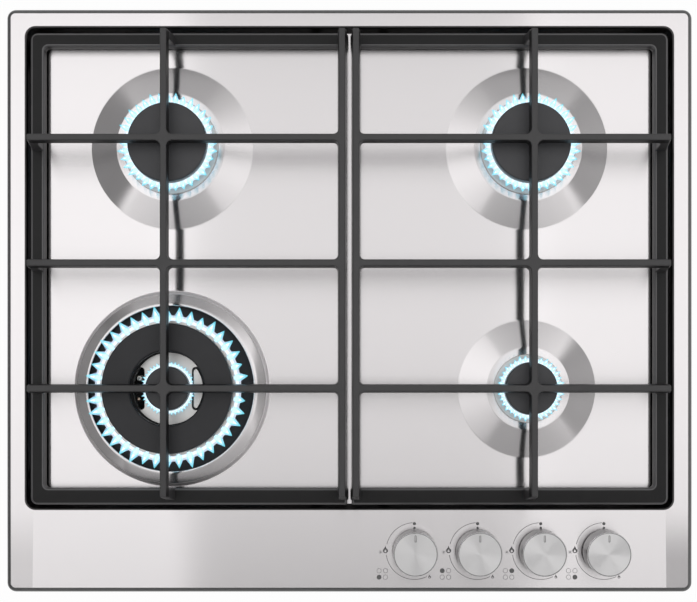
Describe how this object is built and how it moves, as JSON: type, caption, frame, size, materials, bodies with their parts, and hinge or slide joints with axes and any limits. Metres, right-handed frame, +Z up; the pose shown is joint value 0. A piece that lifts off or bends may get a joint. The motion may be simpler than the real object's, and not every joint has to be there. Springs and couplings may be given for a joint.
{
  "type": "built-in gas cooktop",
  "caption": "Built-in gas cooktop with a pressed steel top, ringed wok burner, small burners, cast pan supports and front push-and-turn knobs.",
  "frame": {"origin": "middle of the top plate's outline, at the underside of the box", "axes": "+Z up, +X to the right, +Y to the rear, away from the knobs"},
  "size_m": [0.6, 0.51, 0.094],
  "materials": {
    "steel": "brushed along the width, satin",
    "galvanised": "dull zinc",
    "seal": "closed-cell foam",
    "burner_alloy": "as cast, slightly rough",
    "enamel_cap": "satin black enamel",
    "cast_support": "satin black enamel on cast iron",
    "foot_rubber": "soft, matt",
    "knob_metal": "spun face, satin side",
    "brass": "machined",
    "ceramic": "glazed white",
    "thermo_metal": "drawn, bright",
    "pipe_alloy": "drawn",
    "lead_sleeve": "silicone sleeve",
    "dark_plastic": "moulded"
  },
  "bodies": {
    "hob": {"hob_top": "steel", "underbox": "galvanised", "rim_seal": "seal", "worktop_clamps": "galvanised", "burner_cups": "burner_alloy", "burner_bridges": "galvanised", "wok_burner_cup": "burner_alloy", "wok_studs": "galvanised", "injectors": "brass", "ignition_electrodes": "ceramic", "thermocouples": "thermo_metal", "ignition_leads": "lead_sleeve", "thermocouple_leads": "thermo_metal", "gas_rail": "galvanised", "rail_brackets": "galvanised", "gas_taps": "brass", "tap_switches": "dark_plastic", "tap_switch_lead": "lead_sleeve", "feed_pipes": "pipe_alloy", "supply_pipe": "galvanised", "gas_inlet": "brass", "ignition_module": "dark_plastic", "terminal_block": "dark_plastic", "cable_grommet": "dark_plastic", "mains_leads": "lead_sleeve"},
    "left_support": {"left_pan_support": "cast_support", "left_support_feet": "foot_rubber"},
    "right_support": {"right_pan_support": "cast_support", "right_support_feet": "foot_rubber"},
    "rear_left_spreader": {"rear_left_spreader": "burner_alloy"},
    "rear_left_cap": {"rear_left_cap": "enamel_cap"},
    "rear_right_spreader": {"rear_right_spreader": "burner_alloy"},
    "rear_right_cap": {"rear_right_cap": "enamel_cap"},
    "front_right_spreader": {"front_right_spreader": "burner_alloy"},
    "front_right_cap": {"front_right_cap": "enamel_cap"},
    "wok_spreader": {"wok_spreader": "burner_alloy"},
    "wok_outer_cap": {"wok_outer_cap": "enamel_cap"},
    "wok_inner_cap": {"wok_inner_cap": "enamel_cap"},
    "tap_plunger_1": {"tap_plunger_1": "brass"},
    "knob_1": {"spindle_1": "thermo_metal", "knob_1": "knob_metal"},
    "tap_plunger_2": {"tap_plunger_2": "brass"},
    "knob_2": {"spindle_2": "thermo_metal", "knob_2": "knob_metal"},
    "tap_plunger_3": {"tap_plunger_3": "brass"},
    "knob_3": {"spindle_3": "thermo_metal", "knob_3": "knob_metal"},
    "tap_plunger_4": {"tap_plunger_4": "brass"},
    "knob_4": {"spindle_4": "thermo_metal", "knob_4": "knob_metal"}
  },
  "joints": [
    {"name": "left_support_lift", "type": "slide", "parent": "hob", "child": "left_support", "axis": [0, 0, 1], "range_m": [0, 0.09]},
    {"name": "right_support_lift", "type": "slide", "parent": "hob", "child": "right_support", "axis": [0, 0, 1], "range_m": [0, 0.09]},
    {"name": "rear_left_spreader_lift", "type": "slide", "parent": "hob", "child": "rear_left_spreader", "axis": [0, 0, 1], "range_m": [0, 0.003]},
    {"name": "rear_left_cap_lift", "type": "slide", "parent": "rear_left_spreader", "child": "rear_left_cap", "axis": [0, 0, 1], "range_m": [0, 0.005]},
    {"name": "rear_right_spreader_lift", "type": "slide", "parent": "hob", "child": "rear_right_spreader", "axis": [0, 0, 1], "range_m": [0, 0.003]},
    {"name": "rear_right_cap_lift", "type": "slide", "parent": "rear_right_spreader", "child": "rear_right_cap", "axis": [0, 0, 1], "range_m": [0, 0.005]},
    {"name": "front_right_spreader_lift", "type": "slide", "parent": "hob", "child": "front_right_spreader", "axis": [0, 0, 1], "range_m": [0, 0.003]},
    {"name": "front_right_cap_lift", "type": "slide", "parent": "front_right_spreader", "child": "front_right_cap", "axis": [0, 0, 1], "range_m": [0, 0.005]},
    {"name": "wok_spreader_lift", "type": "slide", "parent": "hob", "child": "wok_spreader", "axis": [0, 0, 1], "range_m": [0, 0.003]},
    {"name": "wok_outer_cap_lift", "type": "slide", "parent": "wok_spreader", "child": "wok_outer_cap", "axis": [0, 0, 1], "range_m": [0, 0.005]},
    {"name": "wok_inner_cap_lift", "type": "slide", "parent": "wok_spreader", "child": "wok_inner_cap", "axis": [0, 0, 1], "range_m": [0, 0.005]},
    {"name": "knob_1_push", "type": "slide", "parent": "hob", "child": "tap_plunger_1", "axis": [0, 0, -1], "range_m": [0, 0.003], "stiffness_N_per_m": 1500, "springref_m": -0.006},
    {"name": "knob_1_turn", "type": "hinge", "parent": "tap_plunger_1", "child": "knob_1", "pos_m": [0.0568, -0.219, 0.036], "axis": [0, 0, 1], "range_deg": [0, 210]},
    {"name": "knob_2_push", "type": "slide", "parent": "hob", "child": "tap_plunger_2", "axis": [0, 0, -1], "range_m": [0, 0.003], "stiffness_N_per_m": 1500, "springref_m": -0.006},
    {"name": "knob_2_turn", "type": "hinge", "parent": "tap_plunger_2", "child": "knob_2", "pos_m": [0.112, -0.219, 0.036], "axis": [0, 0, 1], "range_deg": [0, 210]},
    {"name": "knob_3_push", "type": "slide", "parent": "hob", "child": "tap_plunger_3", "axis": [0, 0, -1], "range_m": [0, 0.003], "stiffness_N_per_m": 1500, "springref_m": -0.006},
    {"name": "knob_3_turn", "type": "hinge", "parent": "tap_plunger_3", "child": "knob_3", "pos_m": [0.1672, -0.219, 0.036], "axis": [0, 0, 1], "range_deg": [0, 210]},
    {"name": "knob_4_push", "type": "slide", "parent": "hob", "child": "tap_plunger_4", "axis": [0, 0, -1], "range_m": [0, 0.003], "stiffness_N_per_m": 1500, "springref_m": -0.006},
    {"name": "knob_4_turn", "type": "hinge", "parent": "tap_plunger_4", "child": "knob_4", "pos_m": [0.2224, -0.219, 0.036], "axis": [0, 0, 1], "range_deg": [0, 210]}
  ]
}
